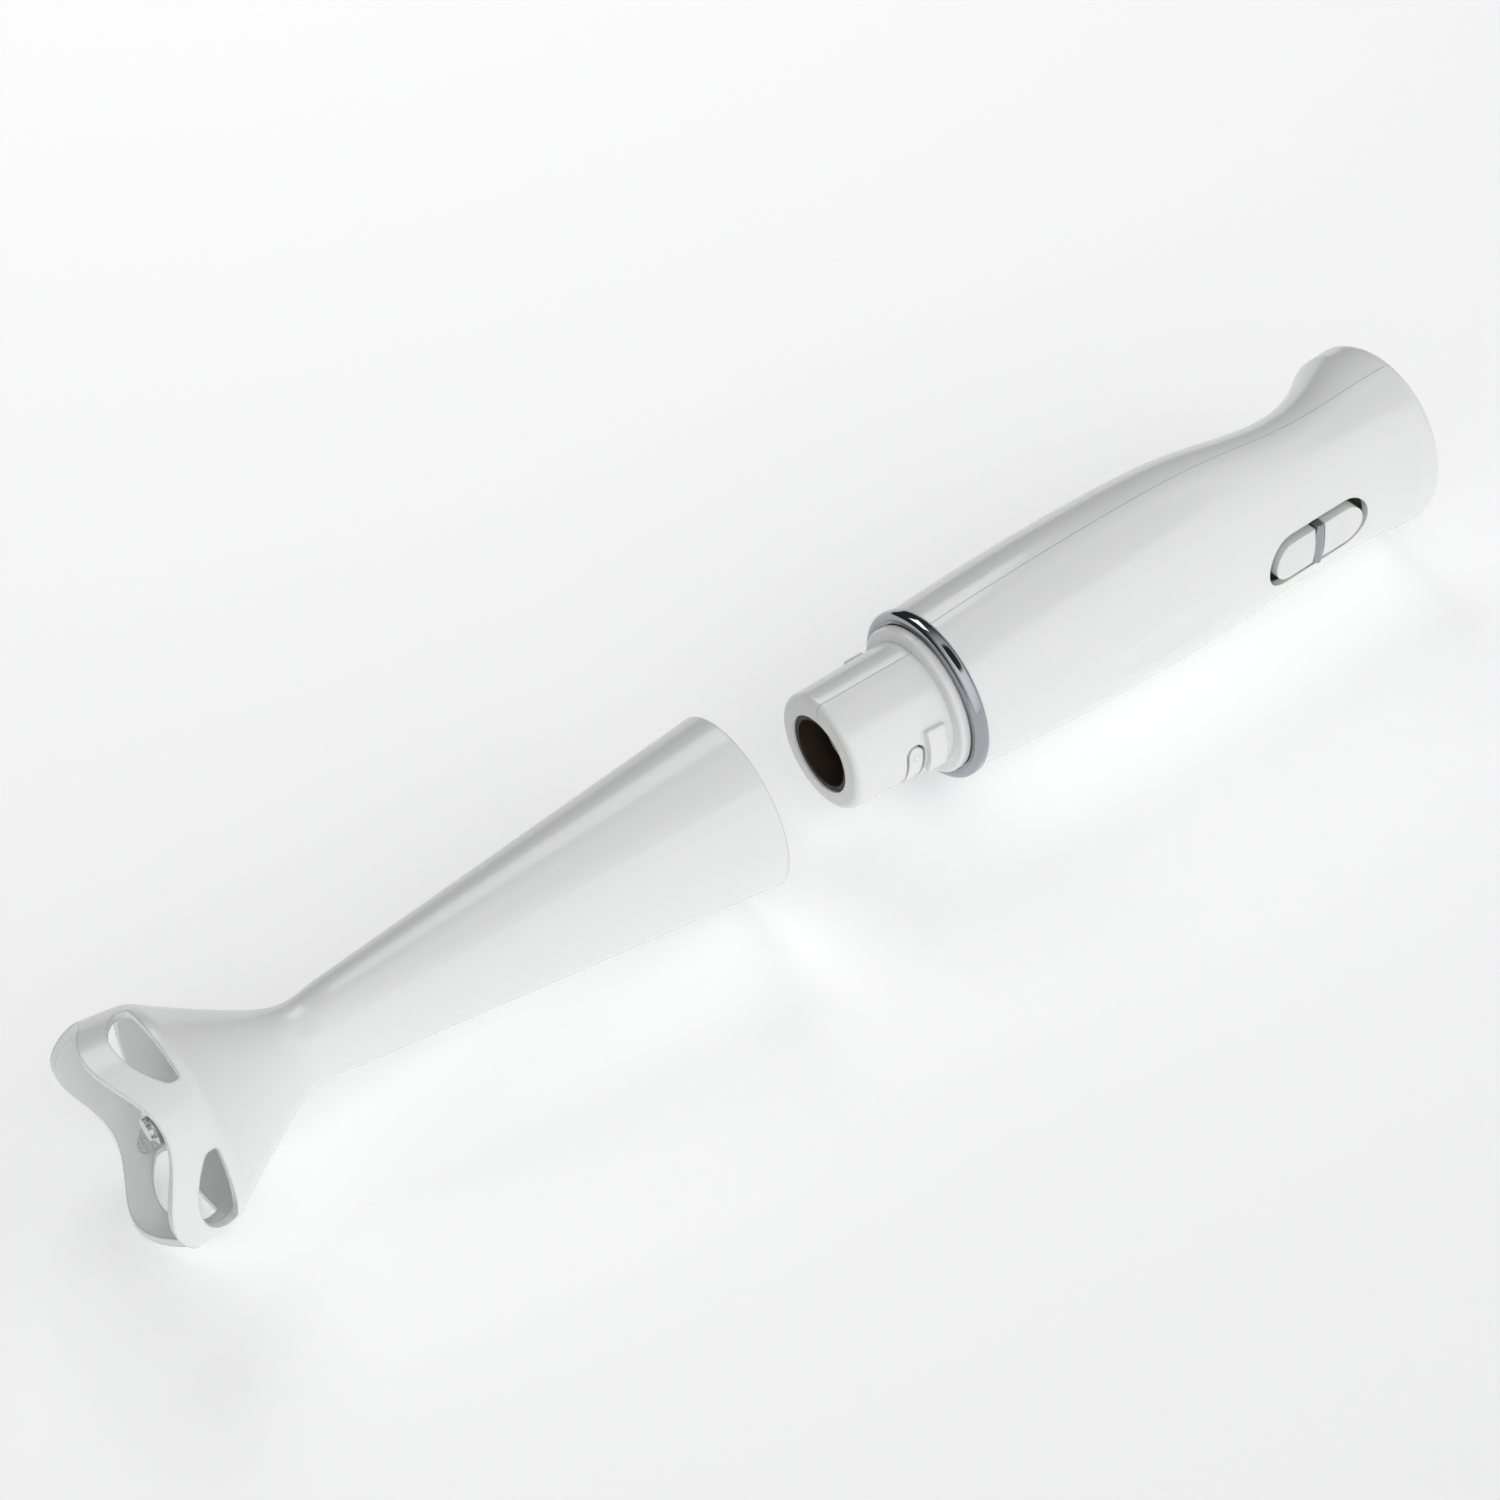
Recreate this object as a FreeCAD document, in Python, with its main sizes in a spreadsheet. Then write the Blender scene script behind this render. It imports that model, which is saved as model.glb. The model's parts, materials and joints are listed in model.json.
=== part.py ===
"""Immersion blender lying on its side, with the blending shaft pulled off the motor handle.

Millimetres, +Z up.  The long axis is parallel to X: the guard points to -X, the butt of the
handle to +X, and the two buttons face -Y.  The origin is under the middle of the whole thing,
on the surface it lies on, so the axis runs at the height of the guard's radius.
"""
import FreeCAD, Part
import math
import os

import Sketcher

from FreeCAD import Placement, Rotation, Vector

DIMENSIONS = (
    # coupling end of the handle
    ("nose_length", 34.2, "nose face to the trim ring"),
    ("nose_root_radius", 17.9, "nose radius at the collar"),
    ("nose_taper", 0.8, "how much slimmer the nose is at its face"),
    ("nose_round", 2.2, "rounding of the nose face's edge"),
    ("nose_front_wall", 3.0, "thickness of the nose face"),
    ("nose_bore_radius", 11.5, "hole in the nose face that the sleeve fills"),
    ("sleeve_bore_radius", 10.0, "open bore of the dark sleeve"),
    ("sleeve_length", 30.0, "length of the sleeve"),
    ("collar_radius", 21.6, "stepped collar in front of the ring"),
    ("collar_length", 2.7, "length of the collar"),
    ("collar_round", 1.1, "rounding of the collar's shoulder"),
    ("ring_radius", 25.0, "outer radius of the trim ring"),
    ("ring_width", 4.0, "width of the trim ring"),
    ("ring_seat_radius", 21.0, "radius of the seat under the ring"),
    ("ring_round", 1.9, "rounding of the ring's outer edges"),
    # handle
    ("body_length", 166.8, "trim ring to the end of the butt"),
    ("shell_wall", 2.4, "wall of the handle's half shells"),
    ("seam_gap", 0.06, "gap between the half shells"),
    ("butt_round", 3.0, "rounding of the butt's end"),
    # thumb scallop: a shallow hollow in the front of the grip, cut by an ellipsoid
    ("scallop_at", 70.3, "trim ring to the middle of the thumb scallop"),
    ("scallop_drop", 1.6, "middle of the scallop below the axis"),
    ("scallop_depth", 1.1, "depth of the scallop"),
    ("scallop_long", 98.0, "half length of the ellipsoid that hollows it"),
    ("scallop_high", 36.0, "half height of that ellipsoid"),
    ("scallop_deep", 20.0, "half depth of that ellipsoid"),
    ("scallop_turn", 7.0, "how the scallop rises towards the butt, degrees"),
    # bayonet
    ("lug_distance", 22.5, "nose face to the bayonet lugs"),
    ("lug_width", 5.9, "bayonet lug along the axis"),
    ("lug_height", 1.5, "how far the lugs stand out of the nose"),
    ("lug_sweep", 44.0, "angle that each lug covers, degrees"),
    ("tongue_width", 6.0, "width of the spring tongue's slot outline"),
    ("tongue_length", 12.0, "length of the spring tongue"),
    ("tongue_slot", 0.8, "width of the slot around the tongue"),
    ("tongue_distance", 19.0, "nose face to the middle of the tongue"),
    ("tongue_crown", 4.0, "top of the tongue's arch above the axis"),
    ("bump_radius", 1.3, "locking bump on each tongue"),
    ("bump_height", 0.25, "how far the bump stands out"),
    ("hook_sweep", 28.0, "angle that each hook covers, degrees"),
    ("hook_start", 36.0, "entry angle of the hooks from the top, degrees"),
    # buttons
    ("button_from_end", 46.2, "end of the butt to the middle of the buttons"),
    ("bezel_length", 38.5, "bezel along the handle"),
    ("bezel_width", 17.0, "bezel across the handle"),
    ("bezel_ridge", 2.1, "width of the bezel's ridge"),
    ("bezel_proud", 0.9, "how far the bezel stands out of the shell"),
    ("bezel_divider", 3.2, "bridge between the two buttons"),
    ("button_proud", 0.5, "how far the buttons stand out of the shell"),
    ("button_gap", 0.3, "clearance around the buttons"),
    ("button_travel", 1.6, "travel of each button"),
    ("button_depth", 9.9, "buttons' back face from the plane in front of the skin"),
    ("plunger_radius", 1.5, "radius of the switch plungers"),
    ("well_depth", 3.0, "depth of the well that each plunger enters"),
    # blending shaft
    ("socket_gap", 28.3, "socket rim to the nose face, as it lies"),
    ("socket_clearance", 0.5, "nose to the socket's bore, radially"),
    ("mouth_clearance", 0.3, "collar to the socket's counterbore, radially"),
    ("lug_clearance", 0.4, "lugs to the bore behind the hooks, radially"),
    ("floor_clearance", 1.2, "nose face to the socket's floor when home"),
    ("collar_clearance", 0.1, "how much deeper the counterbore is than the collar"),
    ("docking_gap", 0.3, "gap left along the axis when the shaft is home"),
    ("cone_end_height", 63.7, "tips of the guard to the small end of the cone"),
    ("cone_end_radius", 12.2, "radius at the small end of the cone"),
    ("neck_height", 54.2, "tips of the guard to the neck"),
    ("neck_radius", 10.9, "radius of the neck"),
    ("throat_height", 38.7, "tips of the guard to the bell's throat"),
    ("throat_radius", 16.9, "radius there"),
    ("bell_height", 22.0, "tips of the guard to the widest stretch of the bell"),
    ("bell_radius", 27.3, "radius there"),
    ("tube_length", 183.7, "socket rim to the tips of the guard's lobes"),
    ("guard_radius", 31.6, "radius of the guard's rim"),
    ("tube_wall", 2.3, "wall of the tube and the guard"),
    ("cavity_height", 40.7, "tips of the guard to the floor inside it"),
    ("rim_wave", 7.0, "height of the rim's lobes"),
    ("window_width", 27.0, "guard window across"),
    ("window_height", 9.6, "guard window along the axis"),
    ("window_offset", 7.6, "lobe tip to the window"),
    ("window_bow_radius", 17.5, "radius of the windows' curved edge"),
    ("window_round", 1.5, "corner radius of the windows"),
    # drive line of the shaft
    ("drive_radius", 3.0, "radius of the drive shaft"),
    ("bush_clearance", 0.04, "radial clearance of each running fit"),
    ("bush_radius", 5.4, "outer radius of the shaft's bushes"),
    ("bulkhead_thickness", 6.0, "bulkhead at the socket's floor"),
    ("lower_bush_length", 14.0, "bush above the guard"),
    ("seal_radius", 6.6, "outer radius of the shaft seal"),
    ("seal_length", 4.0, "length of the shaft seal"),
    ("key_side", 7.0, "side of the square drive key"),
    ("key_length", 12.0, "length of the square drive key"),
    ("key_clearance", 0.3, "clearance of the key in its socket"),
    ("blade_height", 15.2, "tips of the guard to the blade"),
    ("blade_radius", 23.0, "reach of the blade's wings"),
    ("blade_width", 9.0, "width of the blade"),
    ("blade_thickness", 1.2, "thickness of the blade"),
    ("blade_flat", 9.0, "flat middle of the blade, from the axis"),
    ("blade_tilt", 24.0, "bend of the wings, degrees"),
    ("blade_turn", 35.0, "how the blade stands at rest, degrees from the top"),
    # motor
    ("coupling_distance", 8.0, "nose face to the motor coupling"),
    ("coupling_radius", 7.6, "radius of the motor coupling"),
    ("coupling_length", 20.0, "length of the motor coupling"),
    ("motor_distance", 54.0, "nose face to the motor can"),
    ("can_radius", 18.0, "radius of the motor can"),
    ("can_length", 52.0, "length of the motor can"),
    ("can_wall", 1.4, "wall of the motor can"),
    ("magnet_thickness", 3.0, "thickness of the magnets"),
    ("air_gap", 0.5, "gap between magnets and armature"),
    ("rotor_radius", 2.5, "radius of the motor shaft"),
    ("stack_length", 28.0, "length of the armature stack"),
    ("commutator_radius", 5.0, "radius of the commutator"),
    ("commutator_length", 8.0, "length of the commutator"),
    ("cap_length", 8.0, "length of the motor's end cap"),
    ("fan_radius", 16.0, "radius of the cooling fan"),
    ("fan_length", 6.0, "length of the cooling fan"),
    # switches and inlet
    ("board_from_end", 74.0, "end of the butt to the board's front edge"),
    ("board_length", 52.0, "length of the switch board"),
    ("board_width", 26.0, "width of the switch board"),
    ("board_thickness", 1.6, "thickness of the switch board"),
    ("board_offset", 3.0, "board in front of the axis"),
    ("rectifier_at", 6.0, "front edge of the board to the rectifier"),
    ("rectifier_length", 12.0, "length of the rectifier"),
    ("rectifier_depth", 4.0, "how far the rectifier stands off the board"),
    ("rectifier_width", 9.0, "width of the rectifier"),
    ("capacitor_at", 22.0, "front edge of the board to the capacitor"),
    ("capacitor_length", 15.0, "length of the capacitor"),
    ("capacitor_depth", 7.0, "how far the capacitor stands off the board"),
    ("capacitor_width", 12.0, "width of the capacitor"),
    ("switch_height", 6.0, "height of the micro switches"),
    ("clamp_from_end", 16.0, "end of the butt to the cord clamp"),
    ("clamp_width", 8.0, "width of the cord clamp"),
    ("clamp_screw_offset", 9.0, "clamp screws from the axis"),
    ("boss_offset", 19.5, "housing screws from the axis"),
    ("screw_radius", 1.4, "radius of the small screws"),
    ("inlet_radius", 3.3, "bore of the cord gland"),
    ("gland_radius", 6.5, "outer radius of the cord gland"),
    ("gland_flange", 2.0, "gland's flange inside the butt"),
    ("fit_gap", 0.05, "gap between pieces that sit against each other"),
    ("screw_clearance", 0.1, "radial clearance of the screws' holes"),
    ("boss_radius", 4.2, "radius of the screw bosses"),
    ("boss_front", 30.0, "how far in front of the axis the bosses start, past the skin"),
    ("boss_length", 60.0, "length of the bosses before the skin trims them"),
    ("boss_hole_front", 13.0, "blind end of the screw holes in front of the axis"),
    ("boss_hole_length", 26.0, "length of those holes"),
    ("recess_length", 25.0, "length of the recesses, past the skin"),
    ("post_radius", 3.0, "radius of the clamp's posts"),
    ("post_length", 29.0, "length of the clamp's posts before the skin trims them"),
    ("post_hole_front", 9.0, "blind end of their holes in front of the axis"),
    ("post_hole_length", 10.0, "length of those holes"),
    ("housing_screw_front", 12.0, "tip of the housing screws in front of the axis"),
    ("housing_screw_length", 22.0, "shank of the housing screws"),
    ("boss_from_motor", 8.5, "motor's end cap to the screw bosses"),
    ("recess_radius", 3.1, "recess for each housing screw's head"),
    ("recess_floor", 9.95, "floor of those recesses behind the axis"),
    ("screw_head_radius", 2.8, "head of the housing screws"),
    ("screw_head_height", 2.2, "height of those heads"),
    ("clamp_head_radius", 2.6, "head of the clamp screws"),
    ("clamp_head_height", 1.8, "height of those heads"),
    ("lead_radius", 0.8, "radius of the leads"),
    ("lead_offset", 8.0, "leads from the axis"),
    ("can_round", 1.0, "rounding of the motor can's closed end"),
    ("magnet_sweep", 130.0, "angle that each magnet covers, degrees"),
    ("brush_side", 4.0, "side of the square brushes"),
    ("brush_reach", 6.4, "length of the brushes"),
    ("fan_plate", 1.2, "plate and blades of the cooling fan"),
    ("stack_slot", 2.4, "width of the slots in the armature stack"),
    ("nut_height", 4.0, "height of the blade nut"),
    ("washer_thickness", 0.4, "thrust washer"),
    ("hub_length", 12.0, "length of the blade's hub"),
)

STATIONS = (
    # name, reference, distance from it, half depth in front, half depth behind, half width
    ("mouth", "ring", 0.0, 24.3, 24.3, 24.4),
    ("shoulder", "ring", 14.0, 24.4, 24.8, 26.0),
    ("belly", "ring", 33.0, 24.6, 25.4, 27.6),
    ("palm", "ring", 62.0, 24.5, 25.4, 29.2),
    ("thumb", "ring", 86.0, 23.8, 24.4, 29.4),
    ("hip", "end", 60.0, 22.5, 21.5, 27.5),
    ("waist", "end", 40.0, 21.5, 19.2, 25.6),
    ("flare", "end", 21.0, 21.2, 23.5, 26.6),
    ("band", "end", 9.0, 23.0, 30.6, 27.9),
    ("butt", "end", 0.0, 23.5, 31.4, 28.3),
)

doc = FreeCAD.newDocument("immersion_blender")
sheet = doc.addObject("Spreadsheet::Sheet", "Dims")
nodes = []


def value_of(size):
    return size.value if isinstance(size, Size) else float(size)


def text_of(size):
    return size.text if isinstance(size, Size) else repr(float(size))


class Size:
    """A named size, or a formula of named sizes: its value, and the expression that gives it."""

    def __init__(self, value, text):
        self.value = value
        self.text = text

    def __add__(self, other):
        return Size(self.value + value_of(other), f"({self.text} + {text_of(other)})")

    def __sub__(self, other):
        return Size(self.value - value_of(other), f"({self.text} - {text_of(other)})")

    def __rsub__(self, other):
        return Size(value_of(other) - self.value, f"({text_of(other)} - {self.text})")

    def __mul__(self, other):
        return Size(self.value * value_of(other), f"({self.text} * {text_of(other)})")

    def __truediv__(self, other):
        return Size(self.value / value_of(other), f"({self.text} / {text_of(other)})")

    def __neg__(self):
        return Size(-self.value, f"(-{self.text})")

    __radd__ = __add__
    __rmul__ = __mul__


def write_sheet():
    """Put every driving dimension in the sheet and return them by name."""
    rows = list(DIMENSIONS)
    for name, reference, distance, front, back, side in STATIONS:
        rows.append((f"{name}_at", distance, f"{name} section from the {reference}"))
        rows.append((f"{name}_front", front, f"{name} section, half depth in front"))
        rows.append((f"{name}_back", back, f"{name} section, half depth behind"))
        rows.append((f"{name}_side", side, f"{name} section, half width"))
    sizes = {}
    for row, (alias, value, note) in enumerate(rows, start=1):
        sheet.set(f"A{row}", alias)
        sheet.set(f"B{row}", str(value))
        sheet.set(f"C{row}", note)
        sheet.setAlias(f"B{row}", alias)
        sizes[alias] = Size(float(value), f"{sheet.Name}.{alias}")
    doc.recompute()
    return sizes


D = write_sheet()

# Places along the axis that many pieces share.
HANDLE_REACH = D["nose_length"] + D["ring_width"] + D["body_length"]
SHAFT_REACH = D["socket_gap"] + D["tube_length"]
NOSE = (SHAFT_REACH - HANDLE_REACH) / 2
RING = NOSE + D["nose_length"]
MOUTH = RING + D["ring_width"]
BUTT = MOUTH + D["body_length"]
RIM = NOSE - D["socket_gap"]
AXIS = D["guard_radius"]
SOCKET_FLOOR = RIM - D["nose_length"] - D["floor_clearance"]
TUBE_END = RIM - D["tube_length"]
MOTOR = NOSE + D["motor_distance"]
MOTOR_END = MOTOR + D["can_length"]
CAVITY_FLOOR = TUBE_END + D["cavity_height"]
SEAL_TOP = CAVITY_FLOOR + D["seal_length"]
BUSH_TOP = SEAL_TOP + D["lower_bush_length"]
CLAMP = BUTT - D["clamp_from_end"]
BOSS = MOTOR_END + D["cap_length"] + D["boss_from_motor"]
BUTTON_LOW = -D["waist_front"] - 4
BUTTON_BACK = BUTTON_LOW + D["button_depth"]

# Sizes that follow from the pieces that meet there.
GAP = D["fit_gap"]
SCREW_HOLE = D["screw_radius"] + D["screw_clearance"]
NOSE_TIP = D["nose_root_radius"] - D["nose_taper"]
SOCKET_BORE = D["nose_root_radius"] + D["socket_clearance"]
LUG_BORE = D["nose_root_radius"] + D["lug_height"] + D["lug_clearance"]
MOUTH_BORE = D["collar_radius"] + D["mouth_clearance"]
CONE_LENGTH = D["tube_length"] - D["cone_end_height"]
MOUTH_DEPTH = D["collar_length"] + D["collar_clearance"]
LUG_ROOM = D["nose_length"] - D["lug_distance"] + D["docking_gap"]
HOOK_WIDTH = LUG_ROOM - D["lug_width"] - MOUTH_DEPTH - D["docking_gap"] * 3

ALONG_X = Rotation(Vector(0, 1, 0), 90)
ALONG_Y = Rotation(Vector(1, 0, 0), -90)
UPRIGHT = Rotation()


# ---------------------------------------------------------------- building blocks
def bind(obj, name, size):
    setattr(obj, name, value_of(size))
    if isinstance(size, Size):
        obj.setExpression(name, size.text)


def place(obj, x, y=0.0, z=AXIS, turn=UPRIGHT):
    obj.Placement = Placement(Vector(value_of(x), value_of(y), value_of(z)), turn)
    for letter, size in zip("xyz", (x, y, z)):
        if isinstance(size, Size):
            obj.setExpression(f"Placement.Base.{letter}", size.text)
    return obj


def keep(obj, label):
    """Make an object one of the blender's pieces."""
    obj.Label = label
    nodes.append(obj)
    return obj


def rod(name, radius, length, x, y=0.0, z=AXIS, turn=ALONG_X):
    obj = doc.addObject("Part::Cylinder", name)
    bind(obj, "Radius", radius)
    bind(obj, "Height", length)
    return place(obj, x, y, z, turn)


def block(name, length, depth, height, x, y, z):
    """A box of that length along X, depth along Y and height along Z, from its low corner."""
    obj = doc.addObject("Part::Box", name)
    bind(obj, "Length", length)
    bind(obj, "Width", depth)
    bind(obj, "Height", height)
    return place(obj, x, y, z)


def boolean(kind, name, base, tool):
    obj = doc.addObject(kind, name)
    obj.Base = base
    obj.Tool = tool
    obj.Refine = False
    return obj


def cut(name, base, tool):
    return boolean("Part::Cut", name, base, tool)


def common(name, base, tool):
    return boolean("Part::Common", name, base, tool)


def fuse(name, *parts):
    obj = doc.addObject("Part::MultiFuse", name)
    obj.Shapes = list(parts)
    obj.Refine = False
    return obj


def group(name, *parts):
    """Identical pieces kept as separate solids of one node."""
    obj = doc.addObject("Part::Compound", name)
    obj.Links = list(parts)
    return obj


def tube(name, outer, inner, length, x):
    return cut(name, rod(name + "_outside", outer, length, x), rod(name + "_bore", inner, length, x))


def origin_plane(body, role):
    return next(plane for plane in body.Origin.OriginFeatures if plane.Role == role)


def outline(body, name, points, role="XY_Plane"):
    """A closed polygon sketch whose corners are held by the sheet."""
    sketch = body.newObject("Sketcher::SketchObject", name)
    sketch.AttachmentSupport = (origin_plane(body, role), "")
    sketch.MapMode = "FlatFace"
    corners = [Vector(value_of(u), value_of(v), 0) for u, v in points]
    count = len(corners)
    for i in range(count):
        sketch.addGeometry(Part.LineSegment(corners[i], corners[(i + 1) % count]), False)
    for i in range(count):
        sketch.addConstraint(Sketcher.Constraint("Coincident", i, 2, (i + 1) % count, 1))
    for i, point in enumerate(points):
        for letter, kind, size in zip("xr", ("DistanceX", "DistanceY"), point):
            index = sketch.addConstraint(Sketcher.Constraint(kind, -1, 1, i, 1, value_of(size)))
            if isinstance(size, Size):
                sketch.renameConstraint(index, f"{letter}{i}")
                sketch.setExpression(f"Constraints.{letter}{i}", size.text)
    return sketch


def revolved(name, points, rounds=()):
    """A body turned about the long axis; rounds lists (x, radius, rounding) of edges to soften."""
    body = doc.addObject("PartDesign::Body", name)
    sketch = outline(body, name + "_profile", points)
    turn = body.newObject("PartDesign::Revolution", name + "_turned")
    turn.Profile = sketch
    turn.ReferenceAxis = (sketch, ["H_Axis"])
    turn.Angle = 360
    place(body, 0.0)
    doc.recompute()
    last = turn
    for number, (x, radius, rounding) in enumerate(rounds):
        names = [
            f"Edge{index}"
            for index, edge in enumerate(last.Shape.Edges, start=1)
            if isinstance(edge.Curve, Part.Circle)
            and abs(edge.Curve.Radius - value_of(radius)) < 0.01
            and abs(edge.Curve.Center.x - value_of(x)) < 0.01
        ]
        fillet = body.newObject("PartDesign::Fillet", f"{name}_round{number}")
        fillet.Base = (last, names)
        bind(fillet, "Radius", rounding)
        doc.recompute()
        last = fillet
    return body


def oval(name, x, front, back, side):
    """One elliptical cross-section of the handle, across the axis at x."""
    depth = (front + back) / 2
    wide = side.value >= depth.value
    obj = doc.addObject("Part::Ellipse", name)
    bind(obj, "MajorRadius", side if wide else depth)
    bind(obj, "MinorRadius", depth if wide else side)
    turn = Rotation(Vector(0, 1, 0), -90)
    if wide:
        # Each section starts at the back, away from the seam of the half shells.
        obj.Angle1 = 90
        obj.Angle2 = 90
    else:
        turn = Rotation(Vector(1, 0, 0), -90).multiply(turn)
    return place(obj, x, (back - front) / 2, AXIS, turn)


def station_x(name, reference):
    return MOUTH + D[name + "_at"] if reference == "ring" else BUTT - D[name + "_at"]


def grip(name, offset, first_x=None, last_x=None):
    """The handle's outer form grown by offset: a smooth loft, then the straight band of the butt."""
    ovals = []
    for station, reference, *rest in STATIONS:
        x = station_x(station, reference)
        if first_x is not None and station == "mouth":
            x = first_x
        if last_x is not None and station == "butt":
            x = last_x
        front, back, side = (D[f"{station}_{part}"] + offset for part in ("front", "back", "side"))
        ovals.append(oval(f"{name}_{station}", x, front, back, side))
    form = doc.addObject("Part::Loft", name + "_form")
    form.Sections = ovals[:-1]
    form.Solid = True
    band = doc.addObject("Part::Loft", name + "_band_form")
    band.Sections = ovals[-2:]
    band.Solid = True
    band.Ruled = True
    doc.recompute()
    return form, band


def rounded_end(name, base, x, rounding):
    """Round the edge of a solid that lies at x."""
    obj = doc.addObject("Part::Fillet", name)
    obj.Base = base
    obj.Edges = [
        (index, rounding.value, rounding.value)
        for index, edge in enumerate(base.Shape.Edges, start=1)
        if edge.BoundBox.XMin > x.value - 0.01
    ]
    doc.recompute()
    return obj


def pill(name, length, width, depth, x, y):
    """A stadium-shaped prism, its length along X, its axis along Y, from y to y + depth."""
    radius = width / 2
    half = length / 2 - radius
    middle = block(name + "_middle", length - width, depth, width, x - half, y, AXIS - radius)
    ends = [
        rod(f"{name}_{side}", radius, depth, x + sign * half, y, AXIS, ALONG_Y)
        for side, sign in (("left", -1), ("right", 1))
    ]
    return fuse(name, middle, *ends)


def sector(name, outer, inner, length, x, start, sweep):
    """Part of a tube about the axis; start and sweep in degrees, from the top towards -Y."""
    slice_ = rod(name + "_outside", outer, length, x)
    bind(slice_, "Angle", sweep)
    turn = Rotation(Vector(1, 0, 0), value_of(start + sweep)).multiply(Rotation(Vector(0, 1, 0), -90))
    place(slice_, x + length, 0.0, AXIS, turn)
    return cut(name, slice_, rod(name + "_inside", inner, length, x))


# ---------------------------------------------------------------- handle shells
def nose_outside():
    """Nose, collar and ring seat, all turned about the axis."""
    collar = RING - D["collar_length"]
    seat_end = MOUTH + D["shell_wall"]
    points = (
        (NOSE, 0.0),
        (NOSE, NOSE_TIP),
        (collar, D["nose_root_radius"]),
        (collar, D["collar_radius"]),
        (RING, D["collar_radius"]),
        (RING, D["ring_seat_radius"]),
        (seat_end, D["ring_seat_radius"]),
        (seat_end, 0.0),
    )
    rounds = (
        (NOSE, NOSE_TIP, D["nose_round"]),
        (collar, D["collar_radius"], D["collar_round"]),
    )
    return revolved("nose", points, rounds)


def nose_inside():
    wall = D["shell_wall"]
    start = NOSE + D["nose_front_wall"]
    seat_end = MOUTH + wall + 0.5
    points = (
        (NOSE - 1, 0.0),
        (NOSE - 1, D["nose_bore_radius"]),
        (start, D["nose_bore_radius"]),
        (start, NOSE_TIP - wall),
        (RING - D["collar_length"], D["nose_root_radius"] - wall),
        (RING, D["ring_seat_radius"] - wall),
        (seat_end, D["ring_seat_radius"] - wall),
        (seat_end, 0.0),
    )
    return revolved("nose_hollow", points)


def lock_lugs():
    """Two bayonet lugs on the nose, centred on the front and the back."""
    x = NOSE + D["lug_distance"]
    radius = D["nose_root_radius"]
    start = 90.0 - D["lug_sweep"] / 2
    return [
        sector(f"lug_{side}", radius + D["lug_height"], radius - 1.5, D["lug_width"], x,
               start + turn, D["lug_sweep"])
        for side, turn in (("front", 0.0), ("back", 180.0))
    ]


def lock_bumps():
    """The small bump on each spring tongue that snaps behind a hook."""
    bumps = []
    for side, sign in (("front", -1), ("back", 1)):
        bump = doc.addObject("Part::Sphere", f"bump_{side}")
        bind(bump, "Radius", D["bump_radius"])
        out = D["nose_root_radius"] - D["bump_radius"] + D["bump_height"]
        bumps.append(place(bump, NOSE + D["tongue_distance"], out * sign, AXIS))
    return bumps


def tongue_slots():
    """The U-shaped slot that frees the lock's spring tongue, on the front and the back."""
    slots = []
    outer = D["tongue_width"]
    inner = outer - D["tongue_slot"] * 2
    x = NOSE + D["tongue_distance"]
    length = D["tongue_length"]
    deep = D["nose_root_radius"]
    for side, y in (("front", -deep - 2), ("back", 9.0)):
        depth = deep - 7
        rise = D["tongue_crown"] - outer / 2
        arch = rod(f"slot_arch_{side}", outer / 2, depth, x, y, AXIS + rise, ALONG_Y)
        legs = block(f"slot_legs_{side}", outer, depth, length, x - outer / 2, y, AXIS + rise - length)
        core_arch = rod(f"tongue_arch_{side}", inner / 2, depth, x, y, AXIS + rise, ALONG_Y)
        core = block(f"tongue_{side}", inner, depth, length + 1, x - inner / 2, y,
                     AXIS + rise - length - 1)
        slots.append(cut(f"slot_{side}", fuse(f"slot_form_{side}", arch, legs),
                         fuse(f"tongue_form_{side}", core_arch, core)))
    return slots


def thumb_scallop():
    """The ellipsoid that hollows the front of the grip for the thumb."""
    hollow = doc.addObject("Part::Ellipsoid", "thumb_scallop")
    bind(hollow, "Radius1", D["scallop_high"])
    bind(hollow, "Radius2", D["scallop_long"])
    bind(hollow, "Radius3", D["scallop_deep"])
    turn = Rotation(Vector(0, 1, 0), -value_of(D["scallop_turn"]))
    return place(hollow, MOUTH + D["scallop_at"], D["scallop_depth"] - D["scallop_deep"] - D["palm_front"],
                 AXIS - D["scallop_drop"], turn)


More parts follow.
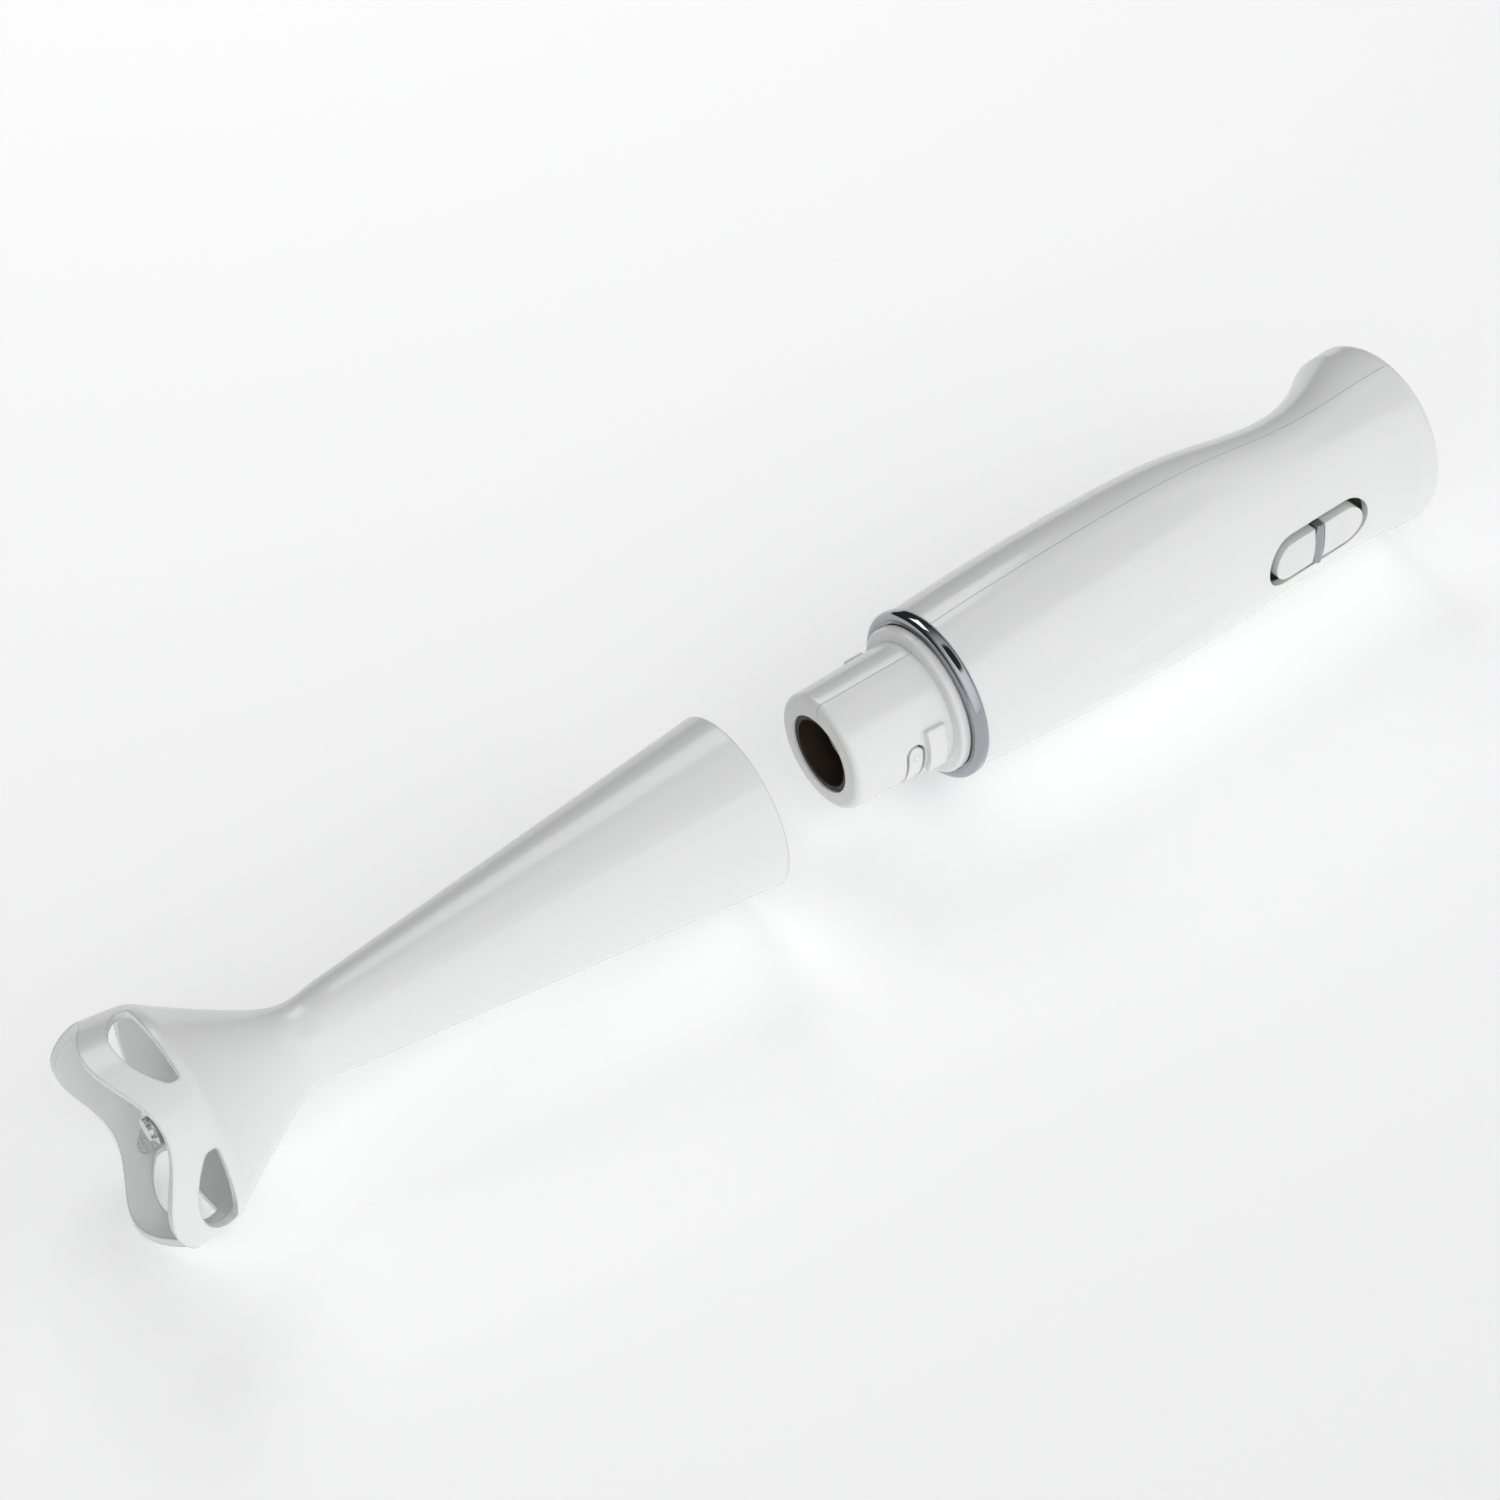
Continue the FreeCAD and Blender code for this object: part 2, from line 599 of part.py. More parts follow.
def handle_shells():
    wall = D["shell_wall"]
    form, band = grip("skin", 0.0)
    band = rounded_end("butt_end", band, BUTT, D["butt_round"])
    outside = fuse("handle_outside", nose_outside(), form, band, *lock_lugs(), *lock_bumps())
    outside = cut("handle_skin", outside, thumb_scallop())
    hollow_form, hollow_band = grip("hollow", -wall, MOUTH + wall, BUTT - wall)
    bezel_hole = pill("bezel_hole", D["bezel_length"] + 0.1, D["bezel_width"] + 0.1, 30.0,
                      BUTT - D["button_from_end"], -40.0)
    gland_hole = rod("gland_hole", D["gland_radius"] + GAP, wall * 3, BUTT - wall * 2, 0.0)
    inside = fuse("handle_hollow", nose_inside(), hollow_form, hollow_band, gland_hole,
                  bezel_hole, *tongue_slots())
    bosses, holes = [], []
    for side, sign in (("low", -1), ("high", 1)):
        z = AXIS + D["boss_offset"] * sign
        bosses.append(rod(f"boss_{side}", D["boss_radius"], D["boss_length"], BOSS, -D["boss_front"],
                          z, ALONG_Y))
        holes.append(rod(f"boss_hole_{side}", SCREW_HOLE, D["boss_hole_length"], BOSS,
                         -D["boss_hole_front"], z, ALONG_Y))
        holes.append(rod(f"boss_recess_{side}", D["recess_radius"], D["recess_length"], BOSS,
                         D["recess_floor"], z, ALONG_Y))
        z = AXIS + D["clamp_screw_offset"] * sign
        bosses.append(rod(f"post_{side}", D["post_radius"], D["post_length"], CLAMP, -D["boss_front"], z,
                          ALONG_Y))
        holes.append(rod(f"post_hole_{side}", SCREW_HOLE, D["post_hole_length"], CLAMP,
                         -D["post_hole_front"], z, ALONG_Y))
    root, _ = grip("boss_root", -wall / 2)
    bosses = common("bosses", fuse("boss_rods", *bosses), root)
    holes = fuse("boss_holes", *holes)
    handle = cut("handle", outside, inside)
    half_gap = D["seam_gap"] / 2
    reach = D["guard_radius"] * 3
    for name, low in (("front_shell", -half_gap), ("rear_shell", half_gap - reach)):
        away = block(name + "_away", HANDLE_REACH + 60, reach, reach * 2, NOSE - 30, low, AXIS - reach)
        half = fuse(name + "_half", cut(name + "_skin", handle, away), cut(name + "_bosses", bosses, away))
        keep(cut(name + "_form", half, holes), name)


def trim_ring():
    edge = D["ring_round"]
    gap = GAP
    points = (
        (RING + gap, D["ring_seat_radius"] + gap),
        (RING + gap, D["ring_radius"]),
        (MOUTH - gap, D["ring_radius"]),
        (MOUTH - gap, D["ring_seat_radius"] + gap),
    )
    rounds = ((RING + gap, D["ring_radius"], edge), (MOUTH - gap, D["ring_radius"], edge * 0.7))
    keep(revolved("trim_ring_body", points, rounds), "trim_ring")


# ---------------------------------------------------------------- buttons
def bezel_and_buttons():
    """The bezel and the two D-shaped buttons all follow the skin of the handle."""
    x = BUTT - D["button_from_end"]
    deep = D["button_depth"] - 0.9
    low = BUTTON_LOW
    inner_length = D["bezel_length"] - D["bezel_ridge"] * 2
    inner_width = D["bezel_width"] - D["bezel_ridge"] * 2
    window = pill("bezel_window", inner_length, inner_width, deep * 2, x, low)
    half_bar = D["bezel_divider"] / 2
    bar = block("bezel_bar", D["bezel_divider"], deep, inner_width + 1, x - half_bar, low,
                AXIS - (inner_width + 1) / 2)
    frame = cut("bezel_frame", pill("bezel_outline", D["bezel_length"], D["bezel_width"], deep, x, low),
                window)
    raised, _ = grip("bezel_skin", D["bezel_proud"])
    keep(common("button_bezel_shape", fuse("bezel_plan", frame, bar), raised), "button_bezel")
    top, _ = grip("button_skin", D["button_proud"])
    gap = D["button_gap"]
    for name, sign in (("speed", -1), ("turbo", 1)):
        plan = pill(f"{name}_outline", inner_length - gap * 2, inner_width - gap * 2, D["button_depth"],
                    x, low)
        half = inner_length / 2
        start = x - half if sign < 0 else x + half_bar + gap
        side = block(f"{name}_side", half - half_bar - gap, D["button_depth"], inner_width, start, low,
                     AXIS - inner_width / 2)
        cap = common(f"{name}_cap", common(f"{name}_plan", plan, side), top)
        keep(cap, f"button_{name}")


def switches():
    """The board behind the buttons, its two micro switches, and each button's plunger."""
    board_x = BUTT - D["board_from_end"]
    board = block("board_form", D["board_length"], D["board_thickness"], D["board_width"], board_x,
                  -D["board_offset"], AXIS - D["board_width"] / 2)
    keep(board, "switch_board")
    centre = BUTT - D["button_from_end"]
    pitch = D["bezel_length"] / 4
    side = D["switch_height"]
    top = -D["board_offset"] - side - GAP
    pin_end = top + D["well_depth"] - D["button_travel"] - 0.3
    reach = pin_end - BUTTON_BACK
    for name, sign in (("speed", -1), ("turbo", 1)):
        x = centre + pitch * sign
        case = block(f"{name}_case", side, side, side, x - side / 2, top, AXIS - side / 2)
        well = rod(f"{name}_well", D["plunger_radius"] + 0.1, D["well_depth"], x, top, AXIS, ALONG_Y)
        keep(cut(f"{name}_switch_form", case, well), f"switch_{name}")
        keep(rod(f"{name}_pin", D["plunger_radius"], reach, x, BUTTON_BACK, AXIS, ALONG_Y),
             f"plunger_{name}")


def board_parts():
    """What else the board carries, and the leads from it to the motor."""
    board_x = BUTT - D["board_from_end"]
    back = D["board_thickness"] - D["board_offset"] + GAP
    for name in ("rectifier", "capacitor"):
        width = D[f"{name}_width"]
        keep(block(f"{name}_form", D[f"{name}_length"], D[f"{name}_depth"], width,
                   board_x + D[f"{name}_at"], back, AXIS - width / 2), name)
    start = MOTOR_END + D["cap_length"] + GAP
    length = board_x - start - GAP
    leads = [
        rod(f"lead_{side}", D["lead_radius"], length, start, D["lead_radius"] - D["board_offset"],
            AXIS + D["lead_offset"] * sign)
        for side, sign in (("low", -1), ("high", 1))
    ]
    keep(group("leads", *leads), "motor_leads")


def inlet():
    """The rubber gland in the butt, and the saddle that would clamp the cord behind it."""
    inside = BUTT - D["shell_wall"] - GAP
    flange = D["gland_radius"] + 1.5
    bore = D["inlet_radius"]
    points = (
        (inside - D["gland_flange"], bore),
        (inside - D["gland_flange"], flange),
        (inside, flange),
        (inside, D["gland_radius"]),
        (BUTT, D["gland_radius"]),
        (BUTT, bore),
    )
    keep(revolved("gland_body", points), "cord_gland")
    width = D["clamp_width"]
    x = CLAMP - width / 2
    length = (D["clamp_screw_offset"] + 3.5) * 2
    top = bore + 3.5
    saddle = block("saddle_form", width, top + 0.95, length, x, -0.95, AXIS - length / 2)
    tools = [rod("saddle_channel", bore, width + 2, x - 1)]
    screws = []
    for side, sign in (("low", -1), ("high", 1)):
        z = AXIS + D["clamp_screw_offset"] * sign
        tools.append(rod(f"saddle_hole_{side}", SCREW_HOLE, top + 2, CLAMP, -1.5, z, ALONG_Y))
        shank = rod(f"clamp_shank_{side}", D["screw_radius"], top + 8, CLAMP, -7.0, z, ALONG_Y)
        head = rod(f"clamp_head_{side}", D["clamp_head_radius"], D["clamp_head_height"], CLAMP,
                   top + GAP, z, ALONG_Y)
        screws.append(fuse(f"clamp_screw_{side}", shank, head))
    keep(cut("saddle", saddle, fuse("saddle_holes", *tools)), "cord_clamp")
    keep(group("clamp_screw_pair", *screws), "clamp_screws")


def housing_screws():
    screws = []
    for side, sign in (("low", -1), ("high", 1)):
        z = AXIS + D["boss_offset"] * sign
        shank = rod(f"housing_shank_{side}", D["screw_radius"], D["housing_screw_length"], BOSS,
                    -D["housing_screw_front"], z, ALONG_Y)
        head = rod(f"housing_head_{side}", D["screw_head_radius"], D["screw_head_height"], BOSS,
                   D["recess_floor"] + GAP, z, ALONG_Y)
        screws.append(fuse(f"housing_screw_{side}", shank, head))
    keep(group("housing_screw_pair", *screws), "housing_screws")


# ---------------------------------------------------------------- motor
def motor_frame():
    can, wall = D["can_radius"], D["can_wall"]
    bush = D["rotor_radius"] * 2
    points = (
        (MOTOR, bush + GAP),
        (MOTOR, can),
        (MOTOR_END, can),
        (MOTOR_END, can - wall),
        (MOTOR + wall, can - wall),
        (MOTOR + wall, bush + GAP),
    )
    keep(revolved("can_body", points, ((MOTOR, can, D["can_round"]),)), "motor_can")
    skirt = D["commutator_length"]
    inner = D["commutator_radius"] + 7
    points = (
        (MOTOR_END - skirt, inner),
        (MOTOR_END - skirt, can - wall - GAP),
        (MOTOR_END + GAP, can - wall - GAP),
        (MOTOR_END + GAP, can),
        (MOTOR_END + D["cap_length"], can),
        (MOTOR_END + D["cap_length"], bush + GAP),
        (MOTOR_END + 1.5, bush + GAP),
        (MOTOR_END + 1.5, inner),
    )
    keep(revolved("end_cap_body", points), "motor_end_cap")
    inner = D["rotor_radius"] + D["bush_clearance"]
    keep(tube("front_bush_form", bush, inner, 6.0, MOTOR - 1), "motor_bush_front")
    keep(tube("rear_bush_form", bush, inner, D["cap_length"] - 2, MOTOR_END + 1.5), "motor_bush_rear")
    outer = can - wall - GAP
    magnets = [
        sector(f"magnet_{side}", outer, outer - D["magnet_thickness"], D["stack_length"] + 2,
               MOTOR + 9, start, D["magnet_sweep"])
        for side, start in (("front", 25.0), ("back", 205.0))
    ]
    keep(group("magnet_pair", *magnets), "motor_magnets")
    reach = D["brush_reach"]
    thick = D["brush_side"]
    inner = D["commutator_radius"] + GAP
    x = MOTOR_END - D["commutator_length"] + 1.5
    brushes = [
        block(f"brush_{side}", thick, thick, reach, x, -thick / 2, AXIS + low)
        for side, low in (("low", -inner - reach), ("high", inner))
    ]
    keep(group("brush_pair", *brushes), "motor_brushes")
    for name, x, room in (
        ("motor_mount_front", MOTOR + 2, D["belly_front"]),
        ("motor_mount_rear", MOTOR_END - 8, D["palm_front"]),
    ):
        keep(tube(name + "_form", room - D["shell_wall"] - 0.4, can + GAP, 5.0, x), name)


def spoke(name, length, thickness, inner, outer, x, angle):
    """A flat rib that stands out from the axis at that angle from the top."""
    obj = doc.addObject("Part::Box", name)
    bind(obj, "Length", length)
    bind(obj, "Width", thickness)
    bind(obj, "Height", outer - inner)
    c, s = math.cos(math.radians(angle)), math.sin(math.radians(angle))
    half = thickness / 2
    y = inner * (-s) - half * c
    z = AXIS + inner * c - half * s
    return place(obj, x, y, z, Rotation(Vector(1, 0, 0), angle))


def rotor():
    radius = D["rotor_radius"]
    key = D["key_side"] + D["key_clearance"] * 2
    start = NOSE + D["coupling_distance"]
    socket_depth = D["key_length"] + 2
    back = start + socket_depth + 1
    shaft_end = MOTOR_END + D["cap_length"] + 1
    keep(rod("motor_shaft_form", radius, shaft_end - back, back), "motor_shaft")
    body = rod("coupling_form", D["coupling_radius"], D["coupling_length"], start)
    hole = block("coupling_socket", socket_depth, key, key, start, -key / 2, AXIS - key / 2)
    bore = rod("coupling_bore", radius, D["coupling_length"], back)
    keep(cut("coupling", body, fuse("coupling_hollow", hole, bore)), "motor_coupling")

    air = D["can_radius"] - D["can_wall"] - GAP - D["magnet_thickness"]
    stack_x = MOTOR + 10
    stack_radius = air - D["air_gap"]
    slots = [
        spoke(f"stack_slot_{angle}", D["stack_length"] + 2, D["stack_slot"], stack_radius - 6,
              stack_radius + 1, stack_x - 1, angle)
        for angle in range(0, 360, 40)
    ]
    stack = rod("stack_form", stack_radius, D["stack_length"], stack_x)
    keep(cut("stack", stack, fuse("stack_slots", rod("stack_bore", radius, D["stack_length"] + 2,
                                                     stack_x - 1), *slots)), "armature_stack")
    turns = [
        tube(f"turns_{side}", stack_radius - 2, radius, 3.5, x)
        for side, x in (("front", stack_x - 3.55), ("rear", stack_x + D["stack_length"] + GAP))
    ]
    keep(group("winding_pair", *turns), "armature_windings")
    keep(tube("commutator_form", D["commutator_radius"], radius, D["commutator_length"],
              MOTOR_END - D["commutator_length"] - 0.5), "commutator")

    fan_x = MOTOR - D["fan_length"] - 2.5
    hub = rod("fan_hub", radius + 3, D["fan_length"], fan_x)
    plate = rod("fan_plate", D["fan_radius"], D["fan_plate"], fan_x + D["fan_length"] - D["fan_plate"])
    ribs = [
        spoke(f"fan_rib_{angle}", D["fan_length"], D["fan_plate"], radius + 2, D["fan_radius"], fan_x,
              angle)
        for angle in range(0, 360, 45)
    ]
    fan = fuse("fan_form", hub, plate, *ribs)
    keep(cut("fan", fan, rod("fan_bore", radius, D["fan_length"] + 2, fan_x - 1)), "cooling_fan")


# ---------------------------------------------------------------- blending shaft
def bell_points():
    """The S-curve from the end of the cone, through the neck, to the guard's rim."""
    return [
        Vector((TUBE_END + height).value, 0, radius.value)
        for height, radius in (
            (D["cone_end_height"], D["cone_end_radius"]),
            (D["neck_height"], D["neck_radius"]),
            (D["throat_height"], D["throat_radius"]),
            (D["bell_height"], D["bell_radius"]),
            (0.0, D["guard_radius"]),
        )
    ]


def smooth(points, start_slope, end_slope):
    curve = Part.BSplineCurve()
    curve.interpolate(Points=points, InitialTangent=start_slope, FinalTangent=end_slope)
    return curve


def turned_face(edges):
    """Turn a closed outline in the upper half of the XZ plane about the long axis."""
    wire = Part.Wire(Part.__sortEdges__(edges))
    solid = Part.Face(wire).revolve(Vector(0, 0, 0), Vector(1, 0, 0), 360)
    # The seam of the turned faces stays clear of the windows and of the rim's tool.
    solid.rotate(Vector(0, 0, 0), Vector(1, 0, 0), 40)
    solid.translate(Vector(0, 0, AXIS.value))
    return solid


def polyline(points):
    return [Part.makeLine(a, b) for a, b in zip(points, points[1:])]


def tube_outside(curve):
    rim = Vector(RIM.value, 0, D["ring_radius"].value)
    start, end = curve.StartPoint, curve.EndPoint
    corners = [end, Vector(end.x, 0, 0), Vector(RIM.value, 0, 0), rim, start]
    return turned_face([curve.toShape()] + polyline(corners))


def guard_cavity(curve):
    """The hollow of the bell, one wall inside the outer curve."""
    wall = D["tube_wall"].value
    floor = (CAVITY_FLOOR).value
    first = curve.parameter(bell_points()[2])
    inner = []
    for i in range(5):
        u = first + (curve.LastParameter - first) * i / 4
        along = curve.tangent(u)[0]
        inner.append(curve.value(u) + Vector(along.z, 0, -along.x) * -wall)
    across = inner[0]
    inside = smooth(inner, inner[1] - inner[0], curve.tangent(curve.LastParameter)[0])
    end = inner[-1]
    past = Vector(TUBE_END.value - 2, 0, end.z)
    corners = [end, past, Vector(past.x, 0, 0), Vector(floor, 0, 0), Vector(floor, 0, across.z - 3), across]
    return turned_face([inside.toShape()] + polyline(corners))


def socket_hollow():
    """The socket for the nose, the hollow of the cone, and the seats of bush and seal."""
    wall = D["tube_wall"]
    slope = (D["ring_radius"] - D["cone_end_radius"]) / CONE_LENGTH.value
    under = SOCKET_FLOOR - D["bulkhead_thickness"]
    under_radius = D["ring_radius"] - (RIM - under) * slope.value - wall
    points = (
        (RIM + 1, 0.0),
        (RIM + 1, MOUTH_BORE),
        (RIM - MOUTH_DEPTH, MOUTH_BORE),
        (RIM - MOUTH_DEPTH, LUG_BORE),
        (RIM - LUG_ROOM, LUG_BORE),
        (RIM - LUG_ROOM, SOCKET_BORE),
        (under, SOCKET_BORE),
        (under, under_radius),
        (BUSH_TOP, D["neck_radius"] - wall),
        (BUSH_TOP, D["bush_radius"] + 0.01),
        (SEAL_TOP, D["bush_radius"] + 0.01),
        (SEAL_TOP, D["seal_radius"] + 0.01),
        (CAVITY_FLOOR - 1, D["seal_radius"] + 0.01),
        (CAVITY_FLOOR - 1, 0.0),
    )
    return revolved("socket_hollow", points)


def wave_edge(radius, base, height):
    """A closed curve about the axis that swings towards +X between the four lobes."""
    points = []
    steps = 32
    for i in range(steps):
        angle = 2 * math.pi * (i + 0.5) / steps
        x = base + height * (1 - math.cos(4 * angle)) / 2
        points.append(Vector(x, radius * math.sin(angle), AXIS.value + radius * math.cos(angle)))
    curve = Part.BSplineCurve()
    curve.interpolate(Points=points, PeriodicFlag=True)
    return curve.toShape()


def rim_tool():
    """What is cut off the guard between its four lobes."""
    outer, inner = D["guard_radius"].value + 6, D["guard_radius"].value - 12
    tip, back = TUBE_END.value, TUBE_END.value - 6
    wave = D["rim_wave"].value
    edges = [wave_edge(outer, tip, wave), wave_edge(inner, tip, wave), wave_edge(inner, back, 0),
             wave_edge(outer, back, 0)]
    faces = [Part.makeRuledSurface(a, b) for a, b in zip(edges, edges[1:] + edges[:1])]
    shell = Part.Shell(faces)
    shell.sewShape()
    solid = Part.Solid(shell)
    if solid.Volume < 0:
        solid.reverse()
    return solid


def window_tool(name, across):
    """A D-shaped prism right through the guard: across the top and bottom, or front and back."""
    reach = D["guard_radius"] + 8
    width, height = D["window_width"], D["window_height"]
    x = TUBE_END + D["window_offset"]
    radius = D["window_bow_radius"]
    if across:
        plate = block(name + "_plate", height, reach * 2, width, x, -reach, AXIS - width / 2)
        disc = rod(name + "_disc", radius, reach * 2, x + radius, -reach, AXIS, ALONG_Y)
    else:
        plate = block(name + "_plate", height, width, reach * 2, x, -width / 2, AXIS - reach)
        disc = rod(name + "_disc", radius, reach * 2, x + radius, 0.0, AXIS - reach, UPRIGHT)
    shape = common(name + "_form", plate, disc)
    doc.recompute()
    softened = doc.addObject("Part::Fillet", name)
    softened.Base = shape
    softened.Edges = [
        (index, D["window_round"].value, D["window_round"].value)
        for index, edge in enumerate(shape.Shape.Edges, start=1)
        if isinstance(edge.Curve, Part.Line) and edge.Length > reach.value
    ]
    doc.recompute()
    return softened


def shaft_tube():
    points = bell_points()
    slope = Vector(-CONE_LENGTH.value, 0, D["cone_end_radius"].value - D["ring_radius"].value)
    curve = smooth(points, slope.normalize() * 9, Vector(-20, 0, 2.2))
    body = doc.addObject("Part::Feature", "tube_outside")
    body.Shape = tube_outside(curve)
    cavity = doc.addObject("Part::Feature", "guard_cavity")
    cavity.Shape = guard_cavity(curve)
    tool = doc.addObject("Part::Feature", "rim_tool")
    tool.Shape = rim_tool()
    hollow = fuse("tube_hollow", cavity, socket_hollow())
    opened = cut("tube_open", cut("tube_hollowed", body, hollow), tool)
    pierced = cut("tube_pierced", cut("tube_pierced_once", opened, window_tool("window_z", False)),
                  window_tool("window_y", True))
    hooks = [
        sector(f"hook_{side}", LUG_BORE + 0.4, SOCKET_BORE, HOOK_WIDTH,
               RIM - MOUTH_DEPTH - HOOK_WIDTH, D["hook_start"] + turn, D["hook_sweep"])
        for side, turn in (("one", 0.0), ("two", 180.0))
    ]
    keep(fuse("tube", pierced, *hooks), "shaft_tube")


def shaft_fittings():
    """Bulkhead, bushes and seal: what holds the drive shaft in the tube."""
    running = D["drive_radius"] + D["bush_clearance"]
    thick = D["bulkhead_thickness"]
    keep(tube("bulkhead_form", SOCKET_BORE - 0.02, D["bush_radius"] + GAP, thick,
              SOCKET_FLOOR - thick), "socket_bulkhead")
    keep(tube("upper_bush_form", D["bush_radius"], running, thick + 3, SOCKET_FLOOR - thick - 2),
         "upper_bush")
    keep(tube("lower_bush_form", D["bush_radius"], running, D["lower_bush_length"], SEAL_TOP + GAP),
         "lower_bush")
    keep(tube("seal_form", D["seal_radius"], running, D["seal_length"] - 0.1, SEAL_TOP
              - D["seal_length"] + GAP), "shaft_seal")
    keep(tube("retainer_form", D["seal_radius"] + 1.2, D["drive_radius"] + 0.4, 1.0,
              CAVITY_FLOOR - 1.05), "seal_retainer")


def drive_line():
    """Coupler, drive shaft and blade, which turn together."""
    hub_x = SOCKET_FLOOR + 1.5
    hub_length = D["coupling_distance"] - 0.5
    side = D["key_side"]
    radius = D["drive_radius"]
    key = block("key_form", D["key_length"], side, side, hub_x + hub_length, -side / 2, AXIS - side / 2)
    hub = fuse("coupler_form", rod("coupler_hub", radius * 2.2, hub_length, hub_x), key)
    keep(cut("coupler", hub, rod("coupler_bore", radius, hub_length * 0.7 + 1, hub_x - 1)),
         "drive_coupler")
    blade_x = TUBE_END + D["blade_height"]
    start = blade_x - 6
    keep(rod("drive_shaft_form", radius, hub_x + hub_length * 0.7 - start, start), "drive_shaft")
    keep(tube("washer_form", radius * 2, radius, D["washer_thickness"], SOCKET_FLOOR + 1.05),
         "thrust_washer")
    keep(tube("blade_hub_form", radius + 2.5, radius, D["hub_length"],
              blade_x + D["blade_thickness"] / 2 + 0.01),
         "blade_hub")
    thin, width = D["blade_thickness"], D["blade_width"]
    root = D["blade_flat"]
    turn = D["blade_turn"].value
    wings = []
    for number, tilt in enumerate((D["blade_tilt"].value, -D["blade_tilt"].value)):
        angle = turn + 180 * number
        flat = spoke(f"blade_root_{number}", thin, width, 0.0, root, blade_x - thin / 2,
                     angle)
        tip = spoke(f"blade_tip_{number}", thin, width, root - 0.2, D["blade_radius"], blade_x - thin / 2,
                    angle)
        bend = Rotation(Vector(0, 1, 0), tilt)
        tip.Placement = Placement(tip.Placement.Base, tip.Placement.Rotation.multiply(bend))
        wings += [flat, tip]
    blank = fuse("blade_blank", *wings)
    hole = rod("blade_hole", radius, 8.0, blade_x - 4)
    keep(cut("blade_form", blank, hole), "blade")
    nut = doc.addObject("Part::Prism", "nut_form")
    nut.Polygon = 6
    bind(nut, "Circumradius", radius + 2)
    bind(nut, "Height", D["nut_height"])
    place(nut, blade_x - thin / 2 - D["nut_height"] - 0.01, 0.0, AXIS, ALONG_X)
    keep(cut("nut", nut, rod("nut_bore", radius, 12.0, blade_x - 10)), "blade_nut")


def check_and_export():
    doc.recompute()
    failed = [obj.Name for obj in doc.Objects if "Invalid" in obj.State or "Error" in obj.State]
    if failed:
        raise RuntimeError(f"failed objects: {failed}")
    bad = [
        obj.Label for obj in nodes
        if obj.Shape.isNull() or not obj.Shape.isValid() or obj.Shape.Volume <= 0
    ]
    if bad:
        raise RuntimeError(f"bad shapes: {bad}")
    os.makedirs("parts", exist_ok=True)
    for obj in nodes:
        obj.Shape.exportStep(f"parts/{obj.Label}.step")
        print(obj.Label, round(obj.Shape.Volume), len(obj.Shape.Solids))


handle_shells()
trim_ring()
keep(tube("sleeve_form", D["nose_bore_radius"] - GAP, D["sleeve_bore_radius"], D["sleeve_length"],
          NOSE + 0.6), "coupling_sleeve")
bezel_and_buttons()
switches()
board_parts()
inlet()
housing_screws()
motor_frame()
rotor()
shaft_tube()
shaft_fittings()
drive_line()
check_and_export()
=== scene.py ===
import json
import math

import bmesh
import bpy
from mathutils import Matrix, Vector
from mathutils.bvhtree import BVHTree


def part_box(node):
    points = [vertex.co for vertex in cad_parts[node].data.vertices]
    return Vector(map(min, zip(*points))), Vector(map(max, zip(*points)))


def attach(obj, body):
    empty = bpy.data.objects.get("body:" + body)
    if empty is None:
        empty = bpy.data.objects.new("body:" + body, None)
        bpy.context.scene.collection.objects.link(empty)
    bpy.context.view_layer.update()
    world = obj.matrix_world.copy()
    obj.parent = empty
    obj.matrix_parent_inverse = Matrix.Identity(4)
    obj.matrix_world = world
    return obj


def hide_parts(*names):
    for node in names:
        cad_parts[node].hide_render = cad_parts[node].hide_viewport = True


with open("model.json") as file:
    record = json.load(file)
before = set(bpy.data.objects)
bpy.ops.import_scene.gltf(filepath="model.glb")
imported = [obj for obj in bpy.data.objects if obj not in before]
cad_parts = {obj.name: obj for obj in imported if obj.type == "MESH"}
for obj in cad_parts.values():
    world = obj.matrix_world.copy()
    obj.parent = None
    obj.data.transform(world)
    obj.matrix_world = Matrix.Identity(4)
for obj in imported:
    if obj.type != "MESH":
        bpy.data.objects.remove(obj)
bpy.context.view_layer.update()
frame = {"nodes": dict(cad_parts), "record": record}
NODES = frame["nodes"]
AXIS = sum(corner.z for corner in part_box("trim_ring")) / 2

# ---------------------------------------------------------------- finishes

TONE_STOPS = (0.3, 0.7)
RELIEF_HEIGHT = 0.0002
COAT_ROUGHNESS = 0.06
SUBSURFACE_DEPTH = 0.002
SMALL_ROUND, TUBE_ROUND = 0.0005, 0.0008


def node_of(tree, kind, place=(0, 0), **values):
    made = tree.nodes.new(kind)
    made.location = place
    for name, value in values.items():
        made.inputs[name.replace("_", " ")].default_value = value
    return made


def moulded_group():
    """Faint moulding texture: a fine height and a slow variation of gloss and tone."""
    group = bpy.data.node_groups.new("moulded_surface", "ShaderNodeTree")
    for name, kind in (("Grain Scale", "NodeSocketFloat"), ("Cloud Scale", "NodeSocketFloat")):
        group.interface.new_socket(name, in_out="INPUT", socket_type=kind)
    for name in ("Height", "Cloud"):
        group.interface.new_socket(name, in_out="OUTPUT", socket_type="NodeSocketFloat")
    entry = group.nodes.new("NodeGroupInput")
    leave = group.nodes.new("NodeGroupOutput")
    coords = group.nodes.new("ShaderNodeTexCoord")
    fine = node_of(group, "ShaderNodeTexNoise", Detail=4.0, Roughness=0.6)
    slow = node_of(group, "ShaderNodeTexNoise", Detail=2.0, Roughness=0.5)
    for noise, scale in ((fine, "Grain Scale"), (slow, "Cloud Scale")):
        group.links.new(coords.outputs["Object"], noise.inputs["Vector"])
        group.links.new(entry.outputs[scale], noise.inputs["Scale"])
    group.links.new(fine.outputs["Fac"], leave.inputs["Height"])
    group.links.new(slow.outputs["Fac"], leave.inputs["Cloud"])
    return group


MOULDED = moulded_group()


